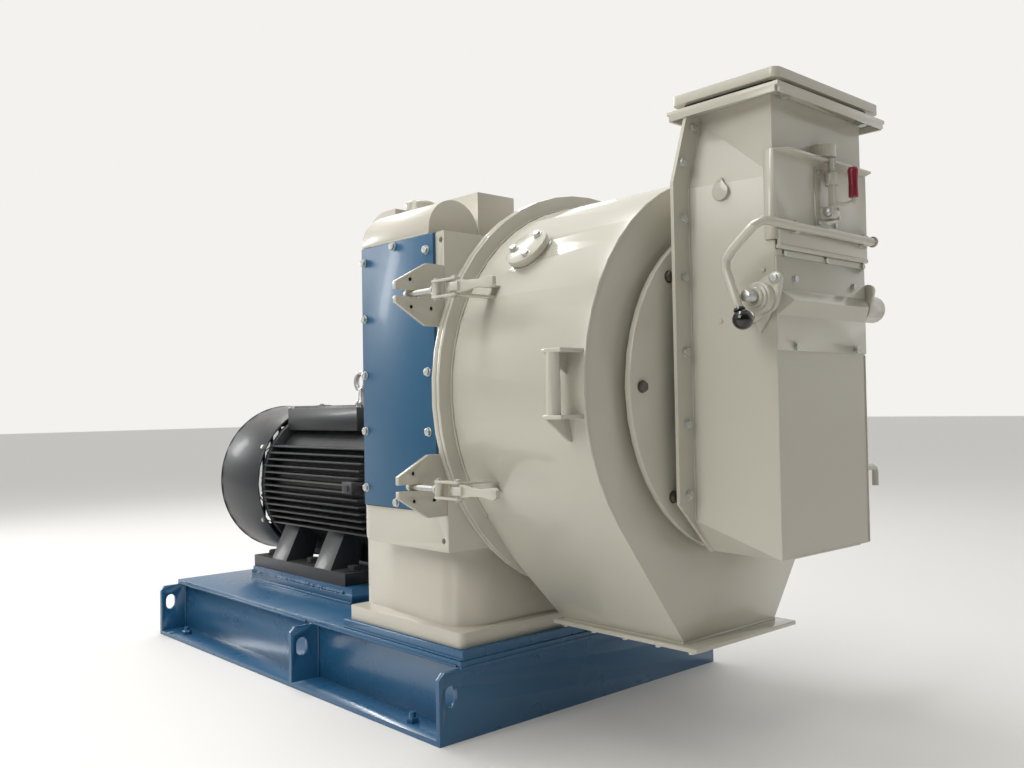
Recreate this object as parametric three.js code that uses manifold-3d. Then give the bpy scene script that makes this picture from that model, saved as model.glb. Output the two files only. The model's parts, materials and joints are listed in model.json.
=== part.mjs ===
// Front-door hammer mill with a V-belt drive: base frame, bearing housing, swing-out drum, feed chute and motor.
// Millimetres, +Z up. The front of the mill faces -Y, the latches are on -X and the door hinge on +X.
// The exported group has its origin on the floor under the middle of the base frame. Inside it, the mill group
// measures Y from the front end of the base frame, so that y = 0 is also close to the joint plane of the drum.
import * as THREE from "three";
import { mergeVertices } from "three/addons/utils/BufferGeometryUtils.js";
import Module from "manifold-3d";

const wasm = await Module();
wasm.setup();

// ---------------------------------------------------------------- driving dimensions
const GAP = 0.3; // clearance left between pieces that rest on each other

const BASE_LENGTH = 1542;
const BASE_HALF = 500; // half the width over the bottom flanges
const DECK_HALF = 437;
const DECK_TOP = 175.5;
const PLATE = 12; // plate thickness of the base frame

const MILL_Z = 783; // height of the rotor and drum axis
const MOTOR_Z = 501; // height of the motor axis
const DRUM_R = 462;
const DRUM_FRONT = -420;
const DRUM_WALL = 8;
const RING_R = 497; // bolting ring of the drum and its back plate
const HOPPER_BOTTOM = 240;
const HOPPER_TILT = 37.1; // lean of the hopper sides, in degrees from the vertical

const FRAME_HALF = 454; // half the width of the bearing housing frame
const FRAME_FRONT = 16;
const FRAME_REAR = 347;
const FRAME_BOTTOM = 420.3;
const FRAME_TOP = 1151;

const CHUTE_BACK = -474;
const CHUTE_FRONT = -660;
const CHUTE_HALF = 172; // half the width of the chute at its front
const CHUTE_TOP = 1349.7;
const CHUTE_BOTTOM = 441;
const FLAP_AXIS = [-669, 1050]; // y, z of the clean-out flap's hinge
const ROLLER_AXIS = [-640, 951]; // y, z of the magnet roller
const SIGHT_PIVOT = [-553, 1196]; // y, z of the sight cover's pivot
const LATCH_PIVOT = [-690, 1130]; // y, z of the flap latch's pivot
const LATCH_X = -3;

const LATCH_Z = { upper: 1001, lower: 574 };
const LEVER_PIVOT = [-518, -100]; // x, y of the toggle lever's pivot on the drum
const LINK_PIN = [-540, -128]; // x, y of the pin that joins lever and link
const HINGE_AXIS = [560, 10]; // x, y of the drum's hinge pins

const SHAFT_R = 50;
const HAMMER_PIN_R = 11;
const HAMMER_CIRCLE = 230;
const ROTOR_BACK = -24;
const ROTOR_FRONT = -380;
const SCREEN_R = 363; // the open drum swings past the screen's outside

const MOTOR_R = 255;
const MOTOR_SHAFT_R = 37.5;
const FOOT_TOP = 258;
const FOOT_BOTTOM = 220;
const PULLEY = { back: 605, front: 515, mill: 100, motor: 125 };
const BELT_THICKNESS = 9;

// ---------------------------------------------------------------- finishes
const finish = (color, roughness, metalness) => new THREE.MeshStandardMaterial({ color, roughness, metalness });
const CREAM = finish(0xdcd8c8, 0.38, 0);
const BLUE = finish(0x2a5f8f, 0.4, 0);
const DARK = finish(0x2c2e31, 0.55, 0.1);
const STEEL = finish(0x9a9c9e, 0.35, 0.9);
const DARK_STEEL = finish(0x4a4740, 0.5, 0.8);
const ZINC = finish(0xb4b6b0, 0.45, 0.7);
const CAST = finish(0x6d6f70, 0.6, 0.4);
const RUBBER = finish(0x1d1e1f, 0.8, 0);
const KNOB = finish(0x0a0a0a, 0.15, 0);
const RED = finish(0x6e2337, 0.45, 0);

// ---------------------------------------------------------------- solids
// A closed geometry as a solid that can be joined and cut.
function solid(geometry) {
  const plain = geometry.index ? geometry.toNonIndexed() : geometry.clone();
  plain.deleteAttribute("normal");
  plain.deleteAttribute("uv");
  const merged = mergeVertices(plain, 1e-3);
  const vertProperties = new Float32Array(merged.attributes.position.array);
  const triVerts = new Uint32Array(merged.index.array);
  const made = new wasm.Manifold(new wasm.Mesh({ numProp: 3, vertProperties, triVerts }));
  if (made.volume() > 0) return made;
  triVerts.reverse();
  return new wasm.Manifold(new wasm.Mesh({ numProp: 3, vertProperties, triVerts }));
}

const join = (...solids) => solids.flat(3).reduce((sum, next) => sum.add(next));
const cut = (body, ...tools) => tools.flat(3).reduce((rest, tool) => rest.subtract(tool), body);

function geometryOf(body) {
  const mesh = body.getMesh();
  const position = new Float32Array(mesh.numVert * 3);
  for (let i = 0; i < mesh.numVert; i++) {
    position.set(mesh.vertProperties.subarray(i * mesh.numProp, i * mesh.numProp + 3), i * 3);
  }
  const indexed = new THREE.BufferGeometry();
  indexed.setAttribute("position", new THREE.BufferAttribute(position, 3));
  indexed.setIndex(new THREE.BufferAttribute(new Uint32Array(mesh.triVerts), 1));
  const flat = indexed.toNonIndexed();
  flat.computeVertexNormals();
  return flat;
}

// Turns a geometry that was drawn in XY and pushed along Z so that it is drawn in the named plane.
const PLANES = {
  xy: new THREE.Matrix4(),
  xz: new THREE.Matrix4().makeBasis(
    new THREE.Vector3(1, 0, 0), new THREE.Vector3(0, 0, 1), new THREE.Vector3(0, -1, 0)),
  yz: new THREE.Matrix4().makeBasis(
    new THREE.Vector3(0, 1, 0), new THREE.Vector3(0, 0, 1), new THREE.Vector3(1, 0, 0)),
};

function box(x0, x1, y0, y1, z0, z1) {
  const geometry = new THREE.BoxGeometry(x1 - x0, y1 - y0, z1 - z0);
  return solid(geometry.translate((x0 + x1) / 2, (y0 + y1) / 2, (z0 + z1) / 2));
}

// A plate of the outline in the plane, between two stations along the plane's normal.
function plate(plane, outline, from, to, holes = []) {
  const shape = outline instanceof THREE.Shape ? outline : new THREE.Shape(points2(outline));
  shape.holes = holes.map((hole) => new THREE.Path(points2(hole)));
  const geometry = new THREE.ExtrudeGeometry(shape, { depth: to - from, bevelEnabled: false, curveSegments: 5 });
  geometry.translate(0, 0, plane === "xz" ? -to : from);
  return solid(geometry.applyMatrix4(PLANES[plane]));
}

function points2(outline) {
  return outline.map(([a, b]) => new THREE.Vector2(a, b));
}

// A cylinder along an axis between two stations; centre holds the other two coordinates in x, y, z order.
function rod(axis, radius, from, to, centre = [0, 0], segments = 16) {
  const geometry = new THREE.CylinderGeometry(radius, radius, to - from, segments);
  const middle = (from + to) / 2;
  if (axis === "y") geometry.translate(centre[0], middle, centre[1]);
  if (axis === "z") geometry.rotateX(Math.PI / 2).translate(centre[0], centre[1], middle);
  if (axis === "x") geometry.rotateZ(-Math.PI / 2).translate(middle, centre[0], centre[1]);
  return solid(geometry);
}

function ring(axis, outer, inner, from, to, centre, segments = 32) {
  return cut(rod(axis, outer, from, to, centre, segments), rod(axis, inner, from - 1, to + 1, centre, segments));
}

// The radius of a faceted bore that clears a round bar.
const bore = (radius, segments = 16) => (radius + GAP) / Math.cos(Math.PI / segments);

// A lathe about the Y axis through (x, z): the profile lists radius and y, and starts and ends on the axis.
function turned(profile, centre, segments = 28) {
  const geometry = new THREE.LatheGeometry(points2(profile), segments);
  return solid(geometry.translate(centre[0], 0, centre[1]));
}

function rectangle(x0, x1, y0, y1) {
  return [[x0, y0], [x1, y0], [x1, y1], [x0, y1]];
}

function roundedRectangle(x0, x1, y0, y1, radius) {
  const shape = new THREE.Shape();
  shape.absarc(x1 - radius, y1 - radius, radius, 0, Math.PI / 2);
  shape.absarc(x0 + radius, y1 - radius, radius, Math.PI / 2, Math.PI);
  shape.absarc(x0 + radius, y0 + radius, radius, Math.PI, 1.5 * Math.PI);
  shape.absarc(x1 - radius, y0 + radius, radius, 1.5 * Math.PI, 2 * Math.PI);
  return shape;
}

// Points on an arc from one angle to another, in degrees.
function arc(centre, radius, from, to, steps) {
  return Array.from({ length: steps + 1 }, (_, i) => {
    const angle = THREE.MathUtils.degToRad(from + ((to - from) * i) / steps);
    return [centre[0] + radius * Math.cos(angle), centre[1] + radius * Math.sin(angle)];
  });
}

const mirrored = (outline) => outline.concat(outline.map(([x, z]) => [-x, z]).reverse());

// The outline of a belt or guard round two circles on the vertical x = 0.
function looped(lowerZ, lowerR, upperZ, upperR, steps) {
  const tilt = THREE.MathUtils.radToDeg(Math.asin((lowerR - upperR) / (upperZ - lowerZ)));
  const over = arc([0, upperZ], upperR, tilt, 180 - tilt, steps);
  const under = arc([0, lowerZ], lowerR, 180 - tilt, 360 + tilt, steps);
  return over.concat(under);
}

// A round bar along a path.
function barAlong(path, radius, steps, sides = 12) {
  const section = new THREE.Shape(points2(arc([0, 0], radius, 0, 360 - 360 / sides, sides - 1)));
  return solid(new THREE.ExtrudeGeometry(section, { steps, extrudePath: path, bevelEnabled: false }));
}

// ---------------------------------------------------------------- assembly
const mill = new THREE.Group();
mill.position.y = -BASE_LENGTH / 2;

function piece(name, body, material) {
  const mesh = new THREE.Mesh(geometryOf(body), material);
  mesh.name = name;
  mill.add(mesh);
}

// ---------------------------------------------------------------- base
function baseFrame() {
  const under = DECK_TOP - PLATE - GAP;
  const earTop = 160;
  const chamfer = 14;
  const webOut = 414;
  const webIn = webOut - PLATE;
  const ear = [[BASE_HALF, 0], [BASE_HALF, earTop - chamfer], [BASE_HALF - chamfer, earTop],
    [DECK_HALF, earTop], [DECK_HALF, under]];
  const slot = (x) => plate("xz", [...arc([x, 113], 17, 0, 180, 6), ...arc([x, 97], 17, 180, 360, 6)],
    -10, BASE_LENGTH + 10);
  const beam = (side) => {
    const profile = [[BASE_HALF, 0], [BASE_HALF, PLATE], [webOut, PLATE], [webOut, under], [webIn, under],
      [webIn, 0]];
    return plate("xz", profile.map(([x, z]) => [side * x, z]), PLATE / 2, BASE_LENGTH - PLATE / 2);
  };
  const middleEar = (side) => {
    const outline = [[webIn + 2, 2], ...ear.slice(0, 1), ...ear.slice(1), [webIn + 2, under]];
    return plate("xz", outline.map(([x, z]) => [side * x, z]), 653, 653 + PLATE);
  };
  const end = (from) => plate("xz", mirrored(ear), from, from + PLATE);
  const crossWebs = [420, 765, 1110].map((y) => box(-webIn - 2, webIn + 2, y, y + PLATE, 0, under));
  const crossFoot = box(-webIn - 2, webIn + 2, 711, 831, 0, PLATE);
  const body = join(beam(-1), beam(1), end(0), end(BASE_LENGTH - PLATE), middleEar(-1), middleEar(1),
    crossWebs, crossFoot);
  return cut(body, slot(-467), slot(467));
}
piece("base_frame", baseFrame(), BLUE);
piece("base_deck", box(-DECK_HALF, DECK_HALF, 0, BASE_LENGTH, DECK_TOP - PLATE, DECK_TOP), BLUE);

const PAD_TOP = 197.5;
piece("pedestal_pad", box(-430, 430, 2, 498, DECK_TOP + GAP, PAD_TOP), BLUE);
for (const [name, side] of [["left", -1], ["right", 1]]) {
  const across = (inner, outer) => [side * inner, side * outer].sort((a, b) => a - b);
  const lower = box(...across(146, 258), 728, 1352, DECK_TOP + GAP, 200);
  const upper = box(...across(150, 254), 732, 1350, 199, FOOT_BOTTOM - GAP);
  piece("motor_rail_" + name, join(lower, upper), BLUE);
}

// ---------------------------------------------------------------- pedestal and bearing housing
function pedestal() {
  const flangeTop = 233.7;
  const plan = (inset) => {
    const shape = new THREE.Shape();
    const x = 395 - inset;
    const rear = 362 - inset;
    const radius = 90 - inset;
    shape.moveTo(rear, 480 - inset);
    shape.lineTo(-rear, 480 - inset);
    shape.absarc(-x + radius, 40 + inset + radius, radius, Math.PI, 1.5 * Math.PI);
    shape.absarc(x - radius, 40 + inset + radius, radius, 1.5 * Math.PI, 2 * Math.PI);
    return shape;
  };
  const flange = plate("xy", roundedRectangle(-421, 421, 17, 485, 15), PAD_TOP + GAP, flangeTop);
  const body = plate("xy", plan(0), flangeTop - 2, FRAME_BOTTOM - GAP);
  return cut(join(flange, body), plate("xy", plan(22), PAD_TOP - 5, FRAME_BOTTOM - 22));
}
piece("pedestal", pedestal(), CREAM);

function housingFrame() {
  const wall = 16;
  const outline = new THREE.Shape();
  outline.moveTo(FRAME_FRONT, FRAME_TOP);
  outline.lineTo(FRAME_FRONT, FRAME_BOTTOM);
  outline.absarc(FRAME_REAR - 15, FRAME_BOTTOM + 15, 15, 1.5 * Math.PI, 2 * Math.PI);
  outline.lineTo(FRAME_REAR, FRAME_TOP);
  const body = plate("yz", outline, -FRAME_HALF, FRAME_HALF);
  const inside = box(-FRAME_HALF + 12, FRAME_HALF - 12, FRAME_FRONT + wall, FRAME_REAR - wall,
    FRAME_BOTTOM + wall, FRAME_TOP - wall);
  const windows = box(-FRAME_HALF - 5, FRAME_HALF + 5, 75, 315, 545, 1120);
  const boreHole = rod("y", 88, 0, 400, [0, MILL_Z], 24);
  const pinHoles = [[28, 1131], [34, 445]].map((at) => rod("x", 7, -FRAME_HALF - 5, FRAME_HALF + 5, at, 8));
  return cut(body, inside, windows, boreHole, pinHoles);
}
piece("housing_frame", housingFrame(), CREAM);
for (const [name, x] of [["left", -FRAME_HALF - 8 - GAP], ["right", FRAME_HALF + GAP]]) {
  piece("side_panel_" + name, plate("yz", rectangle(47, 341, 510.5, 1149), x, x + 8), BLUE);
}

// The cover on top of the housing: a half-round lobe along each side, a low cover between and one tall duct.
function hood() {
  const bottom = FRAME_TOP + GAP;
  const front = 70;
  const lobe = (side, inset) => {
    const top = arc([side * 381, 1163], 75 - inset, 0, 180, 14);
    const half = 75 - inset;
    const outline = [...top, [side * 381 - half, bottom - inset], [side * 381 + half, bottom - inset]];
    const body = plate("xz", outline, front + inset, FRAME_REAR - inset);
    const back = [[front, bottom - 20], [front, 1300], [270, 1300],
      ...arc([270, 1180], 75 - inset, 90, 0, 6), [345 - inset, bottom - 20]];
    return body.intersect(plate("yz", back, -500, 500));
  };
  const chamber = (left, right, top, inset) => box(left + inset, right - inset, front + inset, FRAME_REAR - inset,
    bottom - inset, top - inset);
  const duct = (inset) => chamber(-306, -188, 1268, inset);
  const middle = (inset) => chamber(-330, 330, 1178, inset);
  const shape = (inset) => join(lobe(-1, inset), lobe(1, inset), duct(inset), middle(inset));
  return cut(shape(0), shape(7));
}
piece("hood", hood(), CREAM);

function driveCase() {
  const top = 1268;
  const round = 90;
  const rear = 486;
  const profile = (inset) => [[FRAME_REAR + GAP - (inset ? 10 : 0), FRAME_BOTTOM + inset],
    [rear - inset, FRAME_BOTTOM + inset], ...arc([rear - round, top - round], round - inset, 0, 90, 10),
    [FRAME_REAR + GAP - (inset ? 10 : 0), top - inset]];
  const body = plate("yz", profile(0), -352, 352);
  const inside = plate("yz", profile(10), -342, 342);
  const cap = points2([[0, -4], [42, -4], [42, 26], ...arc([34, 30], 8, 0, 90, 4), [0, 38]]);
  const vent = new THREE.LatheGeometry(cap, 28).rotateX(Math.PI / 2).translate(-238, 392, top);
  return join(cut(body, inside, rod("y", 60, 400, 500, [0, MILL_Z])), solid(vent));
}
piece("drive_case", driveCase(), CREAM);

const backDisc = rod("y", RING_R, 1, FRAME_FRONT - GAP, [0, MILL_Z], 50);
piece("back_plate", cut(backDisc, rod("y", 60, 0, 20, [0, MILL_Z])), CREAM);
piece("door_gasket", ring("y", 488, 474, -1.5, 0.7, [0, MILL_Z]), RUBBER);

for (const [name, inward] of [["front", 1], ["rear", -1]]) {
  const station = (distance) => (inward > 0 ? FRAME_FRONT + 1 + distance : FRAME_REAR - 1 - distance);
  const between = (a, b) => [station(a), station(b)].sort((m, n) => m - n);
  const barrel = rod("y", 84, ...between(0, 104), [0, MILL_Z]);
  const flange = rod("y", 112, ...between(15 + GAP, 33), [0, MILL_Z]);
  piece("bearing_housing_" + name, cut(join(barrel, flange), rod("y", bore(SHAFT_R), 0, 400, [0, MILL_Z])), CAST);
}

// ---------------------------------------------------------------- latch brackets and door hinge
for (const [name, z] of Object.entries(LATCH_Z)) {
  const root = -FRAME_HALF - GAP;
  const outline = [[root, z + 70], [-506, z + 70], [-589, z + 25], [-589, z - 22], [-509, z - 70],
    [root, z - 70]];
  const holes = [[-550, z + 31], [-548, z - 30], [-493, z - 31]].map((at) => arc(at, 4, 0, 315, 7));
  const body = plate("xz", outline, FRAME_FRONT + GAP, 28, holes);
  piece("latch_bracket_" + name, cut(body, box(-600, -523, 10, 40, z - 7, z + 7)), CREAM);
}

function doorHinge() {
  const [x, y] = HINGE_AXIS;
  const post = box(FRAME_HALF + GAP, 482, FRAME_FRONT + GAP, 44, 522, 1053);
  const knuckles = Object.values(LATCH_Z).map((z) => {
    const arm = (from, to) => join(plate("xy", [[470, 17], [x - 10, -12], [x + 12, 30], [470, 43]], from, to),
      rod("z", 24, from, to, [x, y], 14));
    return [arm(z + 11.4, z + 30), arm(z - 30, z - 11.4), rod("z", 12, z - 36, z + 36, [x, y], 12)];
  });
  return join(post, knuckles);
}
piece("door_hinge", doorHinge(), CREAM);

// ---------------------------------------------------------------- rotor
function millShaft() {
  const steps = [[0, -404], [64, -404], [64, -392], [SHAFT_R, -392], [SHAFT_R, 372], [45, 372], [45, 612],
    [0, 612]];
  return turned(steps, [0, MILL_Z], 16);
}
piece("mill_shaft", millShaft(), STEEL);

const PIN_ANGLES = [45, 135, 225, 315];
const pinCentre = (degrees) => arc([0, MILL_Z], HAMMER_CIRCLE, degrees, degrees, 1)[0];

function rotorSpider() {
  const disc = rod("y", 262, ROTOR_BACK - 16, ROTOR_BACK, [0, MILL_Z], 24);
  const hub = rod("y", 84, ROTOR_FRONT, ROTOR_BACK, [0, MILL_Z]);
  const pins = PIN_ANGLES.map((a) => rod("y", HAMMER_PIN_R, ROTOR_FRONT, ROTOR_BACK - 2, pinCentre(a), 10));
  return cut(join(disc, hub, pins), rod("y", bore(SHAFT_R), ROTOR_FRONT - 5, 0, [0, MILL_Z]));
}
piece("rotor_spider", rotorSpider(), DARK_STEEL);

function rotorFrontDisc() {
  const disc = ring("y", 262, bore(84, 24), ROTOR_FRONT + 10, ROTOR_FRONT + 26, [0, MILL_Z], 24);
  return cut(disc, PIN_ANGLES.map((a) => rod("y", bore(HAMMER_PIN_R, 10), -400, -300, pinCentre(a), 10)));
}
piece("rotor_front_disc", rotorFrontDisc(), DARK_STEEL);

// Each row is one spacer tube with its hammers, free on its pin and hanging straight down.
PIN_ANGLES.forEach((angle, row) => {
  const [x, z] = pinCentre(angle);
  const rear = ROTOR_BACK - 18;
  const front = ROTOR_FRONT + 28;
  const tube = rod("y", 18, front, rear, [x, z], 10);
  const count = 4;
  const pitch = (rear - front - 24) / (count - 1);
  const hammers = Array.from({ length: count }, (_, i) => {
    const y = front + 8 + i * pitch;
    return box(x - 22, x + 22, y, y + 8, z - 118, z + 22);
  });
  const pinBore = rod("y", bore(HAMMER_PIN_R, 10), front - 5, rear + 5, [x, z], 10);
  piece("hammer_row_" + (row + 1), cut(join(tube, hammers), pinBore), STEEL);
});

function screen() {
  const outer = arc([0, MILL_Z], SCREEN_R, 120, 420, 40);
  const inner = arc([0, MILL_Z], SCREEN_R - 5, 420, 120, 40);
  return plate("xz", outer.concat(inner), -395, 1 - GAP);
}
piece("screen", screen(), STEEL);

function pulley(radius, boreRadius, z) {
  const grooved = rod("y", radius, PULLEY.front, PULLEY.back, [0, z], 20);
  const rims = [PULLEY.front, PULLEY.back - 5].map((y) => rod("y", radius + 6, y, y + 5, [0, z], 20));
  return cut(join(grooved, rims), rod("y", boreRadius, PULLEY.front - 5, PULLEY.back + 5, [0, z]));
}
piece("mill_pulley", pulley(PULLEY.mill, bore(45), MILL_Z), CAST);
piece("motor_pulley", pulley(PULLEY.motor, bore(MOTOR_SHAFT_R), MOTOR_Z), CAST);

function beltLoop(inset) {
  return looped(MOTOR_Z, PULLEY.motor + inset, MILL_Z, PULLEY.mill + inset, 15);
}
piece("drive_belt", plate("xz", beltLoop(BELT_THICKNESS), 522, 598, [beltLoop(3)]), RUBBER);

function beltGuard() {
  const shell = plate("xz", looped(MOTOR_Z, 165, MILL_Z, 150, 12), 486 + GAP, 634);
  const inside = plate("xz", looped(MOTOR_Z, 160, MILL_Z, 145, 12), 480, 629);
  return cut(shell, inside, rod("y", 60, 600, 700, [0, MOTOR_Z]));
}
piece("belt_guard", beltGuard(), CREAM);

// ---------------------------------------------------------------- motor
function motorFrame() {
  const front = 690;
  const rear = 1290;
  const core = rod("y", 216, front, rear, [0, MOTOR_Z], 32);
  const rearShield = rod("y", 252, rear - 22, rear, [0, MOTOR_Z], 32);
  const chord = (offset) => Math.sqrt(MOTOR_R ** 2 - offset ** 2);
  const sideFins = Array.from({ length: 13 }, (_, i) => {
    const dz = (i - 6) * 21.2;
    return box(-chord(dz), chord(dz), front + 8, rear - 4, MOTOR_Z + dz - 2.5, MOTOR_Z + dz + 2.5);
  });
  const bottomFins = Array.from({ length: 9 }, (_, i) => {
    const dx = (i - 4) * 27;
    return box(dx - 2.5, dx + 2.5, front + 8, rear - 4, MOTOR_Z - chord(dx), MOTOR_Z - 150);
  });
  const plugBox = box(-272, -200, 700, 752, 500, 534);
  const feet = [-1, 1].map((side) => {
    const foot = [[-150, FOOT_BOTTOM], [-250, FOOT_BOTTOM], [-250, FOOT_TOP], [-150, FOOT_TOP]];
    const web = [[-150, FOOT_TOP - 5], [-250, FOOT_TOP - 5], [-185, 385], [-110, 385]];
    const flip = (outline) => outline.map(([x, z]) => [-side * x, z]);
    const webs = [[862, 958], [1134, 1228]].map(([from, to]) => plate("xz", flip(web), from, to));
    return [plate("xz", flip(foot), 776, 1347), webs];
  });
  const body = join(core, rearShield, sideFins, bottomFins, feet, plugBox);
  return cut(body, rod("y", 60, front - 5, rear + 5, [0, MOTOR_Z]));
}
piece("motor_frame", motorFrame(), DARK);

function motorEndShield() {
  const profile = [[0, 642], [88, 650], [228, 668], [236, 690 - GAP], [0, 690 - GAP]];
  return cut(turned(profile, [0, MOTOR_Z]), rod("y", bore(MOTOR_SHAFT_R), 600, 700, [0, MOTOR_Z]));
}
piece("motor_end_shield", motorEndShield(), DARK);

function fanCowl() {
  const front = 1290 + GAP;
  const rear = 1592;
  const profile = (inset) => [[0, front - (inset ? 5 : 0)], [264 - inset, front - (inset ? 5 : 0)],
    [264 - inset, rear - 24], [250 - inset, rear - 6 - inset / 2], [232 - inset, rear - inset], [0, rear - inset]];
  const slats = Array.from({ length: 9 }, (_, i) => {
    const dx = (i - 4) * 34;
    const reach = Math.sqrt(186 ** 2 - dx ** 2);
    return box(dx - 11, dx + 11, rear - 20, rear + 5, MOTOR_Z - reach, MOTOR_Z + reach);
  });
  return cut(turned(profile(0), [0, MOTOR_Z]), turned(profile(4), [0, MOTOR_Z]), slats);
}
piece("fan_cowl", fanCowl(), DARK);

function terminalBox() {
  const body = box(-162, 162, 836, 1264, 681, 754);
  const ribs = [-138, -114, -90, -66, 66, 90, 114, 138].map((x) => box(x - 3, x + 3, 842, 1258, 750, 762));
  return cut(join(body, ribs), rod("y", 219, 800, 1320, [0, MOTOR_Z], 32),
    box(-MOTOR_R, MOTOR_R, 800, 1320, 600, MOTOR_Z + 6 * 21.2 + 2.5 + GAP));
}
piece("terminal_box", terminalBox(), DARK);

function liftingEye() {
  const [y, foot] = [1058, 754 + GAP];
  const eye = solid(new THREE.TorusGeometry(28, 9.5, 8, 18).rotateY(Math.PI / 2).translate(0, y, 842));
  return join(eye, rod("z", 12, foot, 812, [0, y], 16), rod("z", 21, foot, foot + 22, [0, y], 16));
}
piece("lifting_eye", liftingEye(), STEEL);

function motorShaft() {
  return turned([[0, 508], [MOTOR_SHAFT_R, 508], [MOTOR_SHAFT_R, 1400], [0, 1400]], [0, MOTOR_Z], 16);
}
piece("motor_shaft", motorShaft(), STEEL);

function coolingFan() {
  const hub = rod("y", 70, 1320, 1385, [0, MOTOR_Z]);
  const disc = rod("y", 215, 1320, 1326, [0, MOTOR_Z], 24);
  const blades = Array.from({ length: 7 }, (_, i) => {
    const blade = new THREE.BoxGeometry(6, 60, 150).translate(0, 1354, 135);
    blade.rotateY((i * 2 * Math.PI) / 7);
    return solid(blade.translate(0, 0, MOTOR_Z));
  });
  return cut(join(hub, disc, blades), rod("y", bore(MOTOR_SHAFT_R), 1300, 1400, [0, MOTOR_Z]));
}
piece("cooling_fan", coolingFan(), RUBBER);

// ---------------------------------------------------------------- drum (the swing-out door)
// A circle of the drum, with the same corners as the round part of the teardrop below.
function drumCircle(radius) {
  const lower = arc([0, MILL_Z], radius, 180 + HOPPER_TILT, 360 - HOPPER_TILT, 14);
  return [...arc([0, MILL_Z], radius, -HOPPER_TILT, 180 + HOPPER_TILT, 36), ...lower.slice(1, -1)];
}

// A circle that runs off into two straight sides, down to the hopper's outlet.
function teardrop(radius, bottom) {
  const tilt = THREE.MathUtils.degToRad(HOPPER_TILT);
  const drop = MILL_Z - radius * Math.sin(tilt) - bottom;
  const foot = radius * Math.cos(tilt) - drop * Math.tan(tilt);
  return [...arc([0, MILL_Z], radius, -HOPPER_TILT, 180 + HOPPER_TILT, 36), [-foot, bottom], [foot, bottom]];
}

// A cylinder that stands on the drum at the port, between two distances from the drum's axis.
const PORT = { angle: THREE.MathUtils.degToRad(139), y: -160 };
const portBasis = new THREE.Matrix4().makeBasis(
  new THREE.Vector3(0, -1, 0),
  new THREE.Vector3(Math.cos(PORT.angle), 0, Math.sin(PORT.angle)),
  new THREE.Vector3(-Math.sin(PORT.angle), 0, Math.cos(PORT.angle)));

function portRod(radius, from, to) {
  const geometry = new THREE.CylinderGeometry(radius, radius, to - from, 24);
  geometry.translate(0, (from + to) / 2, 0).applyMatrix4(portBasis);
  return solid(geometry.translate(0, PORT.y, MILL_Z));
}

function drumCasing() {
  const inner = DRUM_R - DRUM_WALL;
  const rear = -10;
  const slope = (shift) => plate("yz", [[rear - shift, 395], [-60 - shift, HOPPER_BOTTOM], [-60 - shift, 150],
    [90, 150], [90, 395]], -500, 500);
  const hopper = cut(plate("xz", teardrop(DRUM_R, HOPPER_BOTTOM), DRUM_FRONT, rear), slope(0));
  const drum = plate("xz", drumCircle(DRUM_R), -90, rear);
  const flange = rod("y", RING_R, -12, -1.8, [0, MILL_Z], 50);
  const zs = Object.values(LATCH_Z);
  const [px, py] = LEVER_PIVOT;
  const [hx, hy] = HINGE_AXIS;
  const ears = zs.map((z) => [z + 9.6, z - 14.1].map((from) =>
    join(box(px, -370, py - 14, py + 14, from, from + 4.5), rod("z", 18, from, from + 4.5, LEVER_PIVOT, 12))));
  const strap = [[370, -66], [470, -66], [hx + 6, hy - 23], [hx - 12, hy + 18], [500, -3], [370, -3]];
  const straps = zs.map((z) => join(plate("xy", strap, z - 11, z + 11),
    rod("z", 24, z - 11, z + 11, HINGE_AXIS, 14)));
  const hollow = cut(
    plate("xz", teardrop(inner, HOPPER_BOTTOM - 30), DRUM_FRONT + DRUM_WALL, rear - DRUM_WALL), slope(10));
  const inside = join(plate("xz", drumCircle(inner), -80, 5), hollow);
  const feedHole = rod("y", 335, DRUM_FRONT - 5, DRUM_FRONT + 20, [0, MILL_Z], 32);
  const pivots = zs.map((z) => rod("z", bore(7, 10), z - 30, z + 30, LEVER_PIVOT, 10));
  const hinge = rod("z", bore(12, 12), 500, 1100, HINGE_AXIS, 12);
  return cut(join(hopper, drum, flange, ears, straps), inside, feedHole, pivots, hinge, portRod(34, 430, 480));
}
piece("drum_casing", drumCasing(), CREAM);

function dischargeFlange() {
  const bottom = 230;
  const frame = box(-188, 188, -465, -45, bottom, HOPPER_BOTTOM - GAP);
  return cut(frame, box(-155, 155, -410, -82, bottom - 5, HOPPER_BOTTOM + 5));
}
piece("discharge_flange", dischargeFlange(), CREAM);

function coverPlate() {
  const outer = rod("y", 361, -449, -435, [0, MILL_Z], 50);
  const seat = rod("y", 346, -436, DRUM_FRONT - GAP, [0, MILL_Z], 32);
  return cut(join(outer, seat), box(-130, 130, -500, -400, MILL_Z - 130, MILL_Z + 130));
}
piece("cover_plate", coverPlate(), CREAM);

function portCover() {
  const body = join(portRod(48, 440, 476), portRod(53, 470, 483));
  return cut(body, plate("xz", drumCircle(DRUM_R + GAP), -300, 0), portRod(34, 430, 474));
}
piece("port_cover", portCover(), CREAM);

function pullHandle() {
  const [x, y] = [-507, -382];
  const shelves = [850, 722].map((z) => box(-521, -440, -415, -366, z, z + 8));
  const gussets = [850, 722].map((z) =>
    plate("xz", [[-520, z + 1], [-440, z + 1], [-440, z - 45], [-456, z - 45]], -374, -368));
  const body = join(shelves, gussets, rod("z", 14, 724, 856, [x, y], 24));
  return cut(body, plate("xz", drumCircle(DRUM_R + GAP), -500, 0));
}
piece("pull_handle", pullHandle(), CREAM);

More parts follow.
